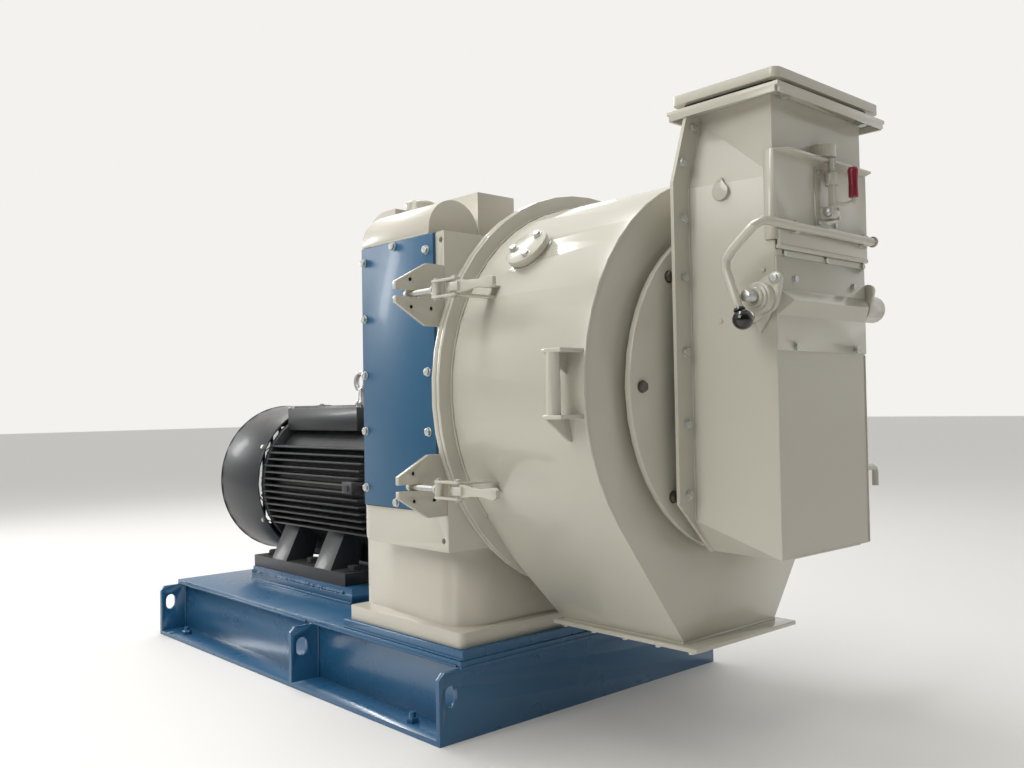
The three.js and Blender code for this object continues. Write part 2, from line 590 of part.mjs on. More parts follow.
// ---------------------------------------------------------------- feed chute
// A solid between two outlines that hold the same number of points, at two stations along Y.
function lofted(rearOutline, rear, frontOutline, front) {
  const count = rearOutline.length;
  const points = [...rearOutline.map(([x, z]) => [x, rear, z]), ...frontOutline.map(([x, z]) => [x, front, z])];
  const cap = THREE.ShapeUtils.triangulateShape(points2(rearOutline), []);
  const faces = cap.map(([a, b, c]) => [c, b, a]);
  faces.push(...cap.map((face) => face.map((i) => i + count)));
  for (let i = 0; i < count; i++) {
    const next = (i + 1) % count;
    faces.push([i, next, next + count], [i, next + count, i + count]);
  }
  const geometry = new THREE.BufferGeometry();
  geometry.setAttribute("position", new THREE.Float32BufferAttribute(points.flat(), 3));
  geometry.setIndex(faces.flat());
  return solid(geometry);
}

const CHUTE_LIP = mirrored([[149, 438], [254, 544], [254, 1197], [206, 1338]]);

// The outside of the chute's walls, moved inwards by the inset.
function chuteBulk(inset, top, front) {
  const rear = [[149, CHUTE_BOTTOM], [204, 510], [204, 1190], [158, 1338], [158, top]];
  const face = rear.map(([, z]) => [CHUTE_HALF, z]);
  const moved = (outline) => mirrored(outline.map(([x, z], i) => [x - inset, i ? z : z + inset]));
  return lofted(moved(rear), CHUTE_BACK - 4, moved(face), front);
}

function chuteBody() {
  const wall = 5;
  const inside = chuteBulk(wall, CHUTE_TOP + 5, CHUTE_FRONT + wall);
  const lip = plate("xz", CHUTE_LIP, CHUTE_BACK - 8, CHUTE_BACK);
  const back = plate("xz", CHUTE_LIP.map(([x, z]) => [x * 0.96, z]), CHUTE_BACK - 1, CHUTE_BACK + 5);
  const collar = box(-138, 138, CHUTE_BACK + 3, -449 - GAP, MILL_Z - 138, MILL_Z + 138);
  const [sy, sz] = SIGHT_PIVOT;
  const sightPad = join(rod("x", 17, -194.5, -176, [sy, sz - 22], 28),
    rod("x", 6, -194.5, -176, SIGHT_PIVOT, 16));
  const catchBlock = join(box(-29, 23, -679, CHUTE_FRONT + 2, 1246, 1271),
    rod("z", 20, 1246, 1271, [LATCH_X, -679], 24));
  const bulk = join(chuteBulk(0, CHUTE_TOP, CHUTE_FRONT), lip, back, collar, sightPad, catchBlock);
  const feed = box(-130, 130, CHUTE_BACK - 20, -440, MILL_Z - 130, MILL_Z + 130);
  const flapWindow = box(-145, 145, CHUTE_FRONT - 10, CHUTE_FRONT + 10, 1075, 1225);
  const rollerWindow = box(-150, 150, CHUTE_FRONT - 10, CHUTE_FRONT + 10, 870, 1010);
  const [ry, rz] = ROLLER_AXIS;
  const rollerHole = rod("x", 15, -230, 230, [ry, rz], 24);
  const sightHole = rod("x", 10, -230, -150, [sy, sz - 22], 20);
  const lowerLeaf = box(-172, 172, CHUTE_FRONT - 4, CHUTE_FRONT + 1, 1032.5, 1045);
  return cut(join(bulk, lowerLeaf), inside, feed, flapWindow, rollerWindow, rollerHole, sightHole);
}
piece("chute_body", chuteBody(), CREAM);

function inletFlange() {
  const top = 1358;
  const sheet = box(-210, 210, -700, -434, CHUTE_TOP + GAP, top);
  const skirt = cut(box(-210, 210, -700, -434, 1338.5, top - 4), box(-204, 204, -694, -440, 1330, top));
  const mitres = [-1, 1].flatMap((side) => [-697, -437].map((y) =>
    box(side * 207 - 4, side * 207 + 4, y - 4, y + 4, 1330, CHUTE_TOP + GAP)));
  return cut(join(sheet, skirt), mitres, box(-150, 150, -652, -488, 1330, top + 5));
}
piece("inlet_flange", inletFlange(), CREAM);

const inletRing = (half, front, back, radius, from, to, margin) => cut(
  plate("xy", roundedRectangle(-half, half, front, back, radius), from, to),
  plate("xy", roundedRectangle(-half + margin, half - margin, front + margin, back - margin, 8), from - 1, to + 1));
piece("inlet_gasket", inletRing(186, -676, -456, 14, 1358 + GAP, 1370, 30), RUBBER);
piece("inlet_frame", inletRing(203, -693, -439, 17, 1370 + GAP, 1390, 47), CREAM);

function ridgeCover() {
  const back = CHUTE_FRONT - GAP;
  const outline = [[back, 1032], [back, 848], [back - 4, 848], [back - 4, 917], [-687, 945], [back - 4, 968],
    [back - 4, 1032]];
  const hollow = [[back + 2, 913], [back, 915], [-683, 945], [back, 970], [back + 2, 972]];
  const hips = [-1, 1].map((side) => plate("xy", [[side * 172, back - 4], [side * 200, back - 4],
    [side * 200, -700], [side * 128, -700]], 800, 1100));
  return cut(plate("yz", outline, -172, 172), plate("yz", hollow, -140, 140),
    rod("x", 25, -150, 150, ROLLER_AXIS, 24), hips);
}
piece("ridge_cover", ridgeCover(), CREAM);

// A two-bolt bearing: a plate that tapers to both bolts, and a round housing.
function rollerBearing(side, length) {
  const [y, z] = ROLLER_AXIS;
  const along = 128.5;
  const spread = 62.4;
  const bolt = (degrees) => arc([y, z], 45.4, degrees, degrees, 1)[0];
  const outline = [...arc(bolt(along), 13, along - spread, along + spread, 6),
    ...arc([y, z], 34, along + spread, along + 180 - spread, 4),
    ...arc(bolt(along + 180), 13, along + 180 - spread, along + 180 + spread, 6),
    ...arc([y, z], 34, along + 180 + spread, along + 360 - spread, 4)];
  const between = (a, b) => [side * a, side * b].sort((m, n) => m - n);
  const foot = plate("yz", outline, ...between(175.5, 187));
  const nose = plate("yz", [[y - 20, z - 22], [y + 9, z - 68], [y + 30, z - 22]], ...between(175.5, 183));
  const housing = join(rod("x", 30, ...between(185, length - 8), [y, z]),
    rod("x", 25, ...between(length - 9, length), [y, z]));
  return cut(join(foot, nose, housing), chuteBulk(-GAP, CHUTE_TOP, CHUTE_FRONT - GAP),
    rod("x", bore(11, 16), -300, 300, [y, z], 16));
}
piece("roller_bearing_left", rollerBearing(-1, 212), CREAM);
piece("roller_bearing_right", rollerBearing(1, 260), CREAM);

function magnetRoller() {
  return join(rod("x", 11, -245, 264, ROLLER_AXIS, 16), rod("x", 24, -148, 148, ROLLER_AXIS));
}
piece("magnet_roller", magnetRoller(), STEEL);

function sightCover() {
  const [y, z] = SIGHT_PIVOT;
  const outline = [...arc([y, z], 5, 20, 160, 6), ...arc([y, z - 22], 19, 165, 375, 16)];
  return plate("yz", outline, -197.3, -194.8);
}
piece("sight_cover", sightCover(), CREAM);

// ---------------------------------------------------------------- clean-out flap
function flapPanel() {
  const half = 179.5;
  const face = CHUTE_FRONT - 4;
  const [bottom, top] = [1064, 1240];
  const pan = box(-half, half, face - 4, face, bottom, top);
  const sides = [-1, 1].map((side) => box(...[side * (half - 4), side * half].sort((a, b) => a - b),
    face - 4, face + 20, bottom, top));
  const lip = plate("xy", [[-half, face - 2], [half, face - 2], [half - 20, face - 28], [-half + 20, face - 28]],
    top - 4, top);
  const leaf = box(-172, 172, face - 8, face - 3, 1051, 1083);
  const knuckle = rod("x", 4.5, -172, 172, FLAP_AXIS, 16);
  const latchPlate = box(-34, 48, face - 8, face - 3, 1103, 1222);
  const cheeks = [LATCH_X - 17, LATCH_X + 11].map((x) => box(x, x + 6, -699, face - 5, 1118, 1142));
  const notch = box(LATCH_X - 12, LATCH_X + 12, -720, -676, top - 6, top + 5);
  return cut(join(pan, sides, lip, leaf, knuckle, latchPlate, cheeks), notch,
    rod("x", bore(6, 16), -40, 40, LATCH_PIVOT, 16));
}
piece("flap_panel", flapPanel(), CREAM);

// A round bar that bends round each corner of the path.
function bentBar(corners, bend, radius, steps) {
  const points = corners.map((corner) => new THREE.Vector3(...corner));
  const path = new THREE.CurvePath();
  let from = points[0];
  for (let i = 1; i < points.length - 1; i++) {
    const before = points[i].clone().lerp(points[i - 1], bend / points[i].distanceTo(points[i - 1]));
    const after = points[i].clone().lerp(points[i + 1], bend / points[i].distanceTo(points[i + 1]));
    path.add(new THREE.LineCurve3(from, before));
    path.add(new THREE.QuadraticBezierCurve3(before, points[i], after));
    from = after;
  }
  path.add(new THREE.LineCurve3(from, points[points.length - 1]));
  return barAlong(path, radius, steps, 8);
}

const BAR_CORNERS = [[180, -682, 1091], [-255, -682, 1091], [-255, -598, 1022], [-255, -634, 924]];
piece("flap_bar", bentBar(BAR_CORNERS, 26, 9.5, 30), CREAM);
piece("flap_knob", solid(new THREE.SphereGeometry(20, 16, 11).translate(-255, -641, 905)), KNOB);

const GRIP_FOOT = [46, -711, 1166];

function latchLever() {
  const [y, z] = LATCH_PIVOT;
  const [gx, gy, gz] = GRIP_FOOT;
  const pin = rod("x", 6, LATCH_X - 19, LATCH_X + 19, LATCH_PIVOT, 16);
  const hub = rod("x", 11, LATCH_X - 10.5, LATCH_X + 10.5, LATCH_PIVOT, 20);
  const hook = box(LATCH_X - 6, LATCH_X + 6, y - 7, y + 5, z, z + 60);
  const head = rod("z", 13, z + 57, z + 81, [LATCH_X, y], 20);
  const bolt = rod("z", 6, z + 80, z + 112, [LATCH_X, y], 16);
  const arm = bentBar([[LATCH_X, y, z + 24], [26, -700, z + 20], [gx, gy, gz - 8]], 8, 3.6, 8);
  return join(pin, hub, hook, head, bolt, arm, rod("z", 4, gz - 12, gz, [gx, gy], 12));
}
piece("latch_lever", latchLever(), CREAM);

function latchGrip() {
  const profile = points2([[0, 0], [9.5, 0], [10, 3], [9.4, 28], [10.6, 50], [11, 57], [9, 60], [0, 60]]);
  const [gx, gy, gz] = GRIP_FOOT;
  return solid(new THREE.LatheGeometry(profile, 24).rotateX(Math.PI / 2).translate(gx, gy, gz + GAP));
}
piece("latch_grip", latchGrip(), RED);

// ---------------------------------------------------------------- toggle latches
// The lever's handle seen from the side: waisted, with a rounded end.
function handleOutline(z) {
  const upper = [[-118, 14], [-140, 14], [-170, 9.5], [-205, 8], [-228, 10.5], [-243, 12.5], [-252, 8]];
  const lower = upper.map(([y, rise]) => [y, z - rise]).reverse();
  return [...upper.map(([y, rise]) => [y, z + rise]), ...lower];
}

for (const [name, z] of Object.entries(LATCH_Z)) {
  const [px, py] = LEVER_PIVOT;
  const [lx, ly] = LINK_PIN;
  const root = [[px + 12, py + 2], [px, py + 14], [lx - 10, ly + 6], [lx - 10, ly - 20], [lx + 10, ly - 20]];
  const handle = plate("yz", handleOutline(z), -544, -534);
  const lever = join(plate("xy", root, z - 9, z + 9), handle, rod("z", 17, z - 9, z + 9, LEVER_PIVOT, 12),
    rod("z", 7, z - 14, z + 14, LEVER_PIVOT, 10));
  piece("toggle_lever_" + name, cut(lever, rod("z", bore(6, 10), z - 20, z + 20, LINK_PIN, 10)), CREAM);

  const cheek = [...arc([lx, ly], 11, 180, 360, 8), ...arc([lx, ly + 64], 11, 0, 180, 8)];
  const cheeks = [z + 14.5, z - 19.5].map((from) => plate("xy", cheek, from, from + 5));
  const barrel = rod("z", 10, z - 19, z + 19, [lx, ly + 64], 12);
  const stud = rod("y", 6, ly + 64, 50, [lx, z], 10);
  const nut = rod("y", 11, FRAME_FRONT + 15.5, FRAME_FRONT + 26, [lx, z], 6);
  const washer = rod("y", 14, FRAME_FRONT + 12.6, FRAME_FRONT + 15.8, [lx, z], 12);
  const pin = rod("z", 6, z - 19, z + 19, LINK_PIN, 10);
  piece("toggle_link_" + name, join(cheeks, barrel, stud, nut, washer, pin), CREAM);
}

const part = new THREE.Group();
part.name = "hammer_mill";
part.add(mill);
export default part;
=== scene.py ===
import json
import math
import random

import bmesh
import bpy
from mathutils import Matrix, Vector


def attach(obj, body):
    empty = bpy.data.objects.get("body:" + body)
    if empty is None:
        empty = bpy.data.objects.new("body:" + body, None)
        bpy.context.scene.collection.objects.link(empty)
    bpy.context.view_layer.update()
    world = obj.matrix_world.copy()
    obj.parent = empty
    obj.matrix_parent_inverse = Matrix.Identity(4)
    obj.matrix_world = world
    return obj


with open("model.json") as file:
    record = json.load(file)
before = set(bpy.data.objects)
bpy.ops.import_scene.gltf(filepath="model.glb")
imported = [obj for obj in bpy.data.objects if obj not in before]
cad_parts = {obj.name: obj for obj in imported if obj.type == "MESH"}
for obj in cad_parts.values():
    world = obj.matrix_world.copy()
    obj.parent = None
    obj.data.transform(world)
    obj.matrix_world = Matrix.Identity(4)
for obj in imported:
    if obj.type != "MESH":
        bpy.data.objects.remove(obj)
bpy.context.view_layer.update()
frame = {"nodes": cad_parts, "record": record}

# The part's own drawing frame: millimetres, with y counted from the front end of the base frame.
BASE_LENGTH = 1542
MILL_Z = 783
MOTOR_Z = 501
DRUM_R = 462
HOPPER_TILT = 37.1
LATCH_Z = {"upper": 1001, "lower": 574}
DECK_TOP = 178
FRAME_WEB = 438  # outer face of the base channels' webs
RAIL_EDGES = (145, 259)  # inner and outer side of a motor rail
PANEL_FACE = 462.3  # outer face of the blue side panels
HOOD_FOOT = 1152
CASE_BACK = 489  # bolted face of the rear case's sheet
GUARD_BACK = 634  # rear face of the belt guard
HINGE_POST = (560, 10)  # x, y of the door hinge's pins
LEVER_PIVOT = (-518, -100)  # x, y of a toggle lever's pivot
LINK_X = -540
LINK_PINS_Y = (-128, -64)
PORT_ANGLE = 139
PORT_Y = -160
CHUTE_FRONT = -660
CHUTE_LIP = -482
ROLLER = (-640, 951)  # y, z of the roller's axis
SIGHT_PIVOT = (-553, 1196)  # y, z
FLAP_HINGE = (-669, 1050)  # y, z of the piano hinge's pin
FLAP_HINGE_LENGTH = 344
FLAP_HINGE_KNUCKLES = 11
FLAP_BAR = (-682, 1091)  # y, z of the flap bar's straight part
LATCH_PIVOT = (-690, 1130)  # y, z of the flap latch's pin
GRIP_TOP = (46, -711, 1226)
COWL_ENDS = (1293, 1566)
SMOOTH_BELOW = math.radians(38)
CAMERA_PLACE = (-1.7984, -2.4631, 0.74775)
CAMERA_YAW, CAMERA_PITCH, CAMERA_ROLL = (math.radians(a) for a in (42.13, 1.35, -1.01))
LENS_MM = 33.7236328125


def mm(x, y, z):
    return Vector((x, y - BASE_LENGTH / 2, z)) / 1000


X, Y, Z = Vector((1, 0, 0)), Vector((0, 1, 0)), Vector((0, 0, 1))


# ------------------------------------------------------------------ camera, floor and light
def make_camera():
    data = bpy.data.cameras.new("camera")
    data.sensor_width = 36
    data.lens = LENS_MM
    data.clip_end = 100
    camera = bpy.data.objects.new("camera", data)
    yaw, pitch, roll = CAMERA_YAW, CAMERA_PITCH, CAMERA_ROLL
    forward = Vector((math.sin(yaw) * math.cos(pitch), math.cos(yaw) * math.cos(pitch), math.sin(pitch)))
    right = Vector((math.cos(yaw), -math.sin(yaw), 0))
    up = right.cross(forward)
    right, up = (right * math.cos(roll) + up * math.sin(roll), up * math.cos(roll) - right * math.sin(roll))
    turn = Matrix(((right.x, up.x, -forward.x), (right.y, up.y, -forward.y), (right.z, up.z, -forward.z)))
    camera.matrix_world = Matrix.Translation(CAMERA_PLACE) @ turn.to_4x4()
    bpy.context.scene.collection.objects.link(camera)
    bpy.context.scene.camera = camera


def make_floor():
    mesh = bpy.data.meshes.new("floor")
    half = 40
    corners = [(-half, -half, 0), (half, -half, 0), (half, half, 0), (-half, half, 0)]
    mesh.from_pydata(corners, [], [(0, 1, 2, 3)])
    floor = bpy.data.objects.new("floor", mesh)
    bpy.context.scene.collection.objects.link(floor)
    material, shader, _ = new_material("floor", 0.6)
    shader.inputs["Base Color"].default_value = (0.8, 0.79, 0.775, 1)
    floor.data.materials.append(material)


def area_light(name, place, target, size, power, colour=(1, 1, 1)):
    data = bpy.data.lights.new(name, "AREA")
    data.shape = "RECTANGLE"
    data.size, data.size_y = size
    data.energy = power
    data.color = colour
    light = bpy.data.objects.new(name, data)
    light.location = place
    light.rotation_euler = (Vector(target) - Vector(place)).to_track_quat("-Z", "Y").to_euler()
    bpy.context.scene.collection.objects.link(light)


def make_light():
    """A room that is bright behind the machine and dim in front of it, with softboxes round it."""
    world = bpy.data.worlds.new("studio")
    world.use_nodes = True
    tree = world.node_tree
    background = tree.nodes["Background"]
    background.inputs["Color"].default_value = (1, 0.985, 0.955, 1)
    coordinates = tree.nodes.new("ShaderNodeTexCoord")
    along = tree.nodes.new("ShaderNodeVectorMath")
    along.operation = "DOT_PRODUCT"
    along.inputs[1].default_value = (0.62, 0.68, 0.38)
    tree.links.new(coordinates.outputs["Generated"], along.inputs[0])
    strength = spread(tree, along.outputs["Value"], 0.05, 0.9, -0.5, 0.5)
    tree.links.new(strength, background.inputs["Strength"])
    bpy.context.scene.world = world
    area_light("key", (-3.8, -0.9, 2.9), (-0.3, -0.3, 0.8), (2.2, 2.2), 62, (1, 0.985, 0.95))
    area_light("overhead", (-0.7, -0.5, 3.6), (-0.1, -0.4, 0.8), (0.7, 2.6), 40)
    area_light("front_fill", (1.4, -4.2, 1.6), (0, -0.6, 0.8), (2.4, 2.0), 3, (1, 0.96, 0.88))
    area_light("rear_fill", (2.6, 3.4, 3.0), (0, 0.3, 0.6), (2.4, 2.0), 30)
    area_light("rear_strip", (0.1, 3.5, 5.0), (-0.3, -0.3, 0.9), (2.0, 0.6), 80)
    area_light("rear_low", (-1.6, 4.4, 2.0), (-0.26, 0.66, 0.58), (0.7, 1.1), 34)
    view = bpy.context.scene.view_settings
    view.view_transform = "Standard"
    view.look = "None"


# ------------------------------------------------------------------ materials
def new_material(name, roughness):
    material = bpy.data.materials.new(name)
    material.use_nodes = True
    shader = material.node_tree.nodes["Principled BSDF"]
    shader.inputs["Roughness"].default_value = roughness
    return material, shader, material.node_tree


def noise(tree, scale, detail, roughness=0.5):
    coordinates = tree.nodes.new("ShaderNodeTexCoord")
    texture = tree.nodes.new("ShaderNodeTexNoise")
    texture.inputs["Scale"].default_value = scale
    texture.inputs["Detail"].default_value = detail
    texture.inputs["Roughness"].default_value = roughness
    tree.links.new(coordinates.outputs["Object"], texture.inputs["Vector"])
    return texture.outputs["Fac"]


def spread(tree, value, low, high, from_low=0.3, from_high=0.7):
    node = tree.nodes.new("ShaderNodeMapRange")
    node.inputs["From Min"].default_value = from_low
    node.inputs["From Max"].default_value = from_high
    node.inputs["To Min"].default_value = low
    node.inputs["To Max"].default_value = high
    tree.links.new(value, node.inputs["Value"])
    return node.outputs["Result"]


def blend_colours(tree, factor, first, second):
    node = tree.nodes.new("ShaderNodeMix")
    node.data_type = "RGBA"
    tree.links.new(factor, node.inputs["Factor"])
    for socket, value in ((node.inputs["A"], first), (node.inputs["B"], second)):
        if isinstance(value, tuple):
            socket.default_value = (*value, 1)
        else:
            tree.links.new(value, socket)
    return node.outputs["Result"]


def add_bump(tree, shader, *layers):
    """Each layer is a height, its strength and its distance in metres."""
    normal = None
    for height, strength, distance in layers:
        node = tree.nodes.new("ShaderNodeBump")
        node.inputs["Strength"].default_value = strength
        node.inputs["Distance"].default_value = distance
        tree.links.new(height, node.inputs["Height"])
        if normal:
            tree.links.new(normal, node.inputs["Normal"])
        normal = node.outputs["Normal"]
    tree.links.new(normal, shader.inputs["Normal"])


def up_facing(tree):
    """1 on surfaces that face up, 0 on the rest."""
    geometry = tree.nodes.new("ShaderNodeNewGeometry")
    parts = tree.nodes.new("ShaderNodeSeparateXYZ")
    tree.links.new(geometry.outputs["Normal"], parts.inputs["Vector"])
    return spread(tree, parts.outputs["Z"], 0, 1, 0.55, 0.95)


def multiply(tree, first, second):
    node = tree.nodes.new("ShaderNodeMath")
    node.operation = "MULTIPLY"
    tree.links.new(first, node.inputs[0])
    if isinstance(second, float):
        node.inputs[1].default_value = second
    else:
        tree.links.new(second, node.inputs[1])
    return node.outputs["Value"]


def paint(name, colour, roughness, coat, dust, wear, peel=0.08, waves=0.05):
    """Sprayed enamel: slight mottling, orange peel, faint waves of the sheet and dust on top faces."""
    material, shader, tree = new_material(name, roughness)
    shader.inputs["Coat Weight"].default_value = coat
    shader.inputs["Coat Roughness"].default_value = 0.12
    darker = tuple(c * 0.965 for c in colour)
    lighter = tuple(min(1.0, c * 1.02) for c in colour)
    mottled = blend_colours(tree, spread(tree, noise(tree, 3.1, 5), 0, 1, 0.2, 0.8), darker, lighter)
    grime = multiply(tree, spread(tree, noise(tree, 9.0, 8, roughness=0.7), 0, 1, 0.52, 0.8), wear)
    soiled = blend_colours(tree, grime, mottled, tuple(c * 0.55 + 0.03 for c in colour))
    dusty = multiply(tree, multiply(tree, up_facing(tree), spread(tree, noise(tree, 26, 6), 0.3, 1)), dust)
    tree.links.new(blend_colours(tree, dusty, soiled, (0.6, 0.57, 0.5)), shader.inputs["Base Color"])
    gloss = spread(tree, noise(tree, 7.5, 6), roughness - 0.04, roughness + 0.05, 0.2, 0.8)
    tree.links.new(gloss, shader.inputs["Roughness"])
    add_bump(tree, shader, (noise(tree, 5.5, 2), waves, 0.01), (noise(tree, 420, 2), peel, 0.0006))
    return material


def metal(name, colour, roughness=0.32, scale=90, stain=(0.25, 0.2, 0.15), stained=0.15):
    """Bare metal with machining marks and a few darker stains."""
    material, shader, tree = new_material(name, roughness)
    shader.inputs["Metallic"].default_value = 0.92
    marks = noise(tree, scale, 4)
    bright = blend_colours(tree, spread(tree, marks, 0, 1), tuple(c * 0.8 for c in colour), colour)
    stains = multiply(tree, spread(tree, noise(tree, 14, 7, roughness=0.65), 0, 1, 0.5, 0.75), stained)
    tree.links.new(blend_colours(tree, stains, bright, stain), shader.inputs["Base Color"])
    gloss = spread(tree, noise(tree, 22, 5), roughness - 0.08, roughness + 0.14)
    tree.links.new(gloss, shader.inputs["Roughness"])
    add_bump(tree, shader, (marks, 0.12, 0.0004))
    return material


def cast(name, colour, roughness=0.6, metallic=0.5):
    """Sand-cast iron."""
    material, shader, tree = new_material(name, roughness)
    shader.inputs["Metallic"].default_value = metallic
    grain = noise(tree, 260, 5, roughness=0.6)
    darker = tuple(c * 0.75 for c in colour)
    mottled = blend_colours(tree, spread(tree, noise(tree, 12, 6), 0, 1), darker, colour)
    tree.links.new(mottled, shader.inputs["Base Color"])
    tree.links.new(spread(tree, grain, roughness - 0.1, roughness + 0.1), shader.inputs["Roughness"])
    add_bump(tree, shader, (grain, 0.35, 0.0012))
    return material


def soft(name, colour, roughness, grain=0.2, coat=0.0):
    """Rubber or moulded plastic."""
    material, shader, tree = new_material(name, roughness)
    shader.inputs["Coat Weight"].default_value = coat
    darker, lighter = tuple(c * 0.8 for c in colour), tuple(c * 1.15 for c in colour)
    tone = blend_colours(tree, spread(tree, noise(tree, 30, 5), 0, 1), darker, lighter)
    tree.links.new(tone, shader.inputs["Base Color"])
    gloss = spread(tree, noise(tree, 45, 4), roughness - 0.04, roughness + 0.08)
    tree.links.new(gloss, shader.inputs["Roughness"])
    add_bump(tree, shader, (noise(tree, 300, 3), grain, 0.0005))
    return material


CREAM = paint("cream_enamel", (0.56, 0.54, 0.46), 0.23, 0.5, dust=0.02, wear=0.015)
CREAM_CAST = paint("cream_cast", (0.57, 0.545, 0.465), 0.36, 0.25, dust=0.04, wear=0.03, peel=0.25, waves=0.2)
BLUE = paint("blue_enamel", (0.016, 0.105, 0.225), 0.28, 0.35, dust=0.02, wear=0.03)
PANEL_BLUE = paint("panel_blue", (0.016, 0.1, 0.205), 0.42, 0.1, peel=0.12, dust=0.02, wear=0.02)
MOTOR = paint("motor_grey", (0.022, 0.025, 0.03), 0.42, 0.1, peel=0.3, dust=0.12, wear=0.12)
STEEL = metal("bare_steel", (0.62, 0.62, 0.61))
ZINC = metal("zinc_plate", (0.66, 0.68, 0.66), 0.38, scale=160, stain=(0.4, 0.38, 0.32), stained=0.3)
DARK_STEEL = metal("dark_steel", (0.2, 0.18, 0.16), 0.42, stained=0.4)
IRON = cast("cast_iron", (0.22, 0.22, 0.23))
RUBBER = soft("rubber", (0.02, 0.02, 0.022), 0.75)
KNOB = soft("knob_black", (0.006, 0.006, 0.007), 0.12, grain=0.01, coat=0.6)
GRIP = soft("grip_red", (0.24, 0.012, 0.03), 0.3, grain=0.15, coat=0.3)
FAN = soft("fan_black", (0.03, 0.03, 0.03), 0.5)
# near-black painted shade: stands in for the shaded inside of the belt guard seen through its vent slots
VENT_SHADE = soft("painted_vent_shade", (0.015, 0.015, 0.016), 0.8)

MATERIAL_OF_SLOT = {"cream_paint": CREAM, "blue_paint": BLUE, "motor_paint": MOTOR, "bare_steel": STEEL,
                    "dark_steel": DARK_STEEL, "cast_iron": IRON, "rubber": RUBBER, "knob_plastic": KNOB,
                    "grip_plastic": GRIP, "fan_plastic": FAN}
MATERIAL_OF_NODE = {"side_panel_left": PANEL_BLUE, "side_panel_right": PANEL_BLUE, "pedestal": CREAM_CAST,
                    "hood": CREAM_CAST, "door_hinge": CREAM_CAST}

FLAT_SHEETS = ("chute_body",)  # its folds are too slight for the edge bevel to keep crisp


def dress_cad_nodes():
    slots = {entry["node"]: entry["material_slot"] for entry in frame["record"]["subparts"]}
    for name, node in frame["nodes"].items():
        node.data.materials.clear()
        node.data.materials.append(MATERIAL_OF_NODE.get(name) or MATERIAL_OF_SLOT[slots[name]])
        node.data.polygons.foreach_set("use_smooth", [name not in FLAT_SHEETS] * len(node.data.polygons))
        for polygon in node.data.polygons:
            polygon.material_index = 0
        finish_edges(node, 0.0008 if max(node.dimensions) < 0.12 else 0.0014)


def finish_edges(piece, width, angle=32, weld=True):
    if weld:
        merge = piece.modifiers.new("merge", "WELD")
        merge.merge_threshold = 0.00002
    bevel = piece.modifiers.new("edges", "BEVEL")
    bevel.width = width
    bevel.segments = 2
    bevel.limit_method = "ANGLE"
    bevel.angle_limit = math.radians(angle)
    bevel.harden_normals = True
    bevel.use_clamp_overlap = True


# ------------------------------------------------------------------ mesh building
def basis(axis):
    """Two unit vectors square to the axis and to each other."""
    axis = axis.normalized()
    side = Vector((0, 0, 1)) if abs(axis.z) < 0.9 else Vector((1, 0, 0))
    first = side.cross(axis).normalized()
    return first, axis.cross(first).normalized()


def add_rings(bm, rings):
    """Skins a list of rings of equal length and caps its ends; a ring of one point is a tip."""
    made = [[bm.verts.new(point) for point in ring] for ring in rings]
    for lower, upper in zip(made, made[1:]):
        count = max(len(lower), len(upper))
        for i in range(count):
            j = (i + 1) % count
            if len(lower) == 1:
                bm.faces.new((lower[0], upper[j], upper[i]))
            elif len(upper) == 1:
                bm.faces.new((lower[i], lower[j], upper[0]))
            else:
                bm.faces.new((lower[i], lower[j], upper[j], upper[i]))
    if len(made[0]) > 2:
        bm.faces.new(list(reversed(made[0])))
    if len(made[-1]) > 2:
        bm.faces.new(made[-1])


def add_lathe(bm, origin, axis, profile, segments=20, turn=0.0):
    """profile lists (radius, height along the axis) in millimetres; origin is in metres."""
    first, second = basis(axis)
    axis = axis.normalized()
    angles = [turn + 2 * math.pi * i / segments for i in range(segments)]
    spokes = [first * math.cos(a) + second * math.sin(a) for a in angles]
    rings = []
    for radius, height in profile:
        centre = origin + axis * height / 1000
        rings.append([centre + spoke * radius / 1000 for spoke in spokes] if radius else [centre])
    add_rings(bm, rings)


def add_prism(bm, outline, direction):
    """outline is a list of points in metres, pushed along direction (metres)."""
    direction = Vector(direction)
    add_rings(bm, [[Vector(p) for p in outline], [Vector(p) + direction for p in outline]])


def add_box(bm, low, high):
    (x0, y0, z0), (x1, y1, z1) = low, high
    foot = [mm(x0, y0, z0), mm(x1, y0, z0), mm(x1, y1, z0), mm(x0, y1, z0)]
    add_prism(bm, foot, (0, 0, (z1 - z0) / 1000))


def add_tube(bm, points, radii, sides=10):
    """A round bar through the points; radii is one number or one for each point, in millimetres."""
    points = [Vector(p) for p in points]
    if not hasattr(radii, "__len__"):
        radii = [radii] * len(points)
    tangents = [(points[min(i + 1, len(points) - 1)] - points[max(i - 1, 0)]).normalized()
                for i in range(len(points))]
    first, _ = basis(tangents[0])
    rings = []
    for point, tangent, radius in zip(points, tangents, radii):
        first = (first - tangent * first.dot(tangent)).normalized()
        second = tangent.cross(first)
        rings.append([point + (first * math.cos(2 * math.pi * i / sides)
                               + second * math.sin(2 * math.pi * i / sides)) * radius / 1000
                      for i in range(sides)])
    add_rings(bm, rings)


def add_weld(bm, corners, radius=3.0, step=3.5, sides=7):
    """A rippled weld bead along a polyline; corners are in metres."""
    rng = random.Random(len(corners) * 1000 + int(corners[0][0] * 1e4) + int(corners[0][2] * 1e3))
    for start, end in zip(corners, corners[1:]):
        start, end = Vector(start), Vector(end)
        length = (end - start).length
        count = max(3, int(length * 1000 / step))
        points = [start.lerp(end, i / count) for i in range(count + 1)]
        radii = [radius * (0.84 + 0.22 * (i % 2) + rng.uniform(-0.08, 0.08)) for i in range(count + 1)]
        add_tube(bm, points, radii, sides)


SHARED_TURNS = random.Random(7)


